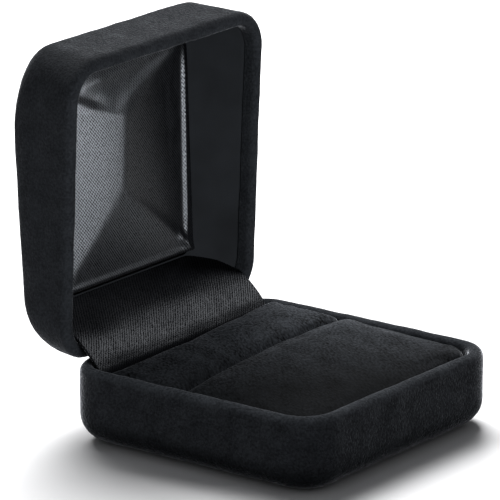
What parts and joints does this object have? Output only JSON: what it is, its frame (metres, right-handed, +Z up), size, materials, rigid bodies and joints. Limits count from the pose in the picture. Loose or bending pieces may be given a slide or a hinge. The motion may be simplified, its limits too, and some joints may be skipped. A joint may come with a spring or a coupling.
{
  "type": "ring box",
  "caption": "Small square velvet ring box, open: two pads with a ring slit in the base and a sprung hinged lid with a padded satin panel.",
  "frame": {"origin": "centre of the base's underside, on the surface that the box stands on", "axes": "+Z up, +Y towards the hinge, +X to the right seen from the front; the lid is open at rest"},
  "size_m": [0.058, 0.0717, 0.0725],
  "materials": {
    "velvet": "matt napped velvet",
    "satin": "glossy twill-weave satin",
    "lining": "dull satin over card",
    "shell": "moulded, matt",
    "foam": "open cell",
    "card": "plain grey board",
    "steel": "pressed sheet, nickel plated"
  },
  "bodies": {
    "base": {"base_velvet": "velvet", "base_shell": "shell", "insert_board": "card", "front_foam": "foam", "rear_foam": "foam", "front_pad_cover": "velvet", "rear_pad_cover": "velvet", "hinge_lower_leaf": "steel", "hinge_pin": "steel", "hinge_spring": "steel", "hinge_apron": "satin", "lower_rivet_left": "steel", "lower_rivet_right": "steel"},
    "lid": {"lid_velvet": "velvet", "lid_shell": "shell", "lid_wall_lining": "lining", "hinge_upper_leaf": "steel", "upper_rivet_left": "steel", "upper_rivet_right": "steel", "lid_card": "card", "lid_wadding": "foam", "lid_satin_panel": "satin"}
  },
  "joints": [
    {"name": "lid_hinge", "type": "hinge", "parent": "base", "child": "lid", "pos_m": [0, 0.0282, 0.01475], "axis": [1, 0, 0], "range_deg": [0, 87], "deforming": ["hinge_apron", "hinge_spring"]}
  ]
}
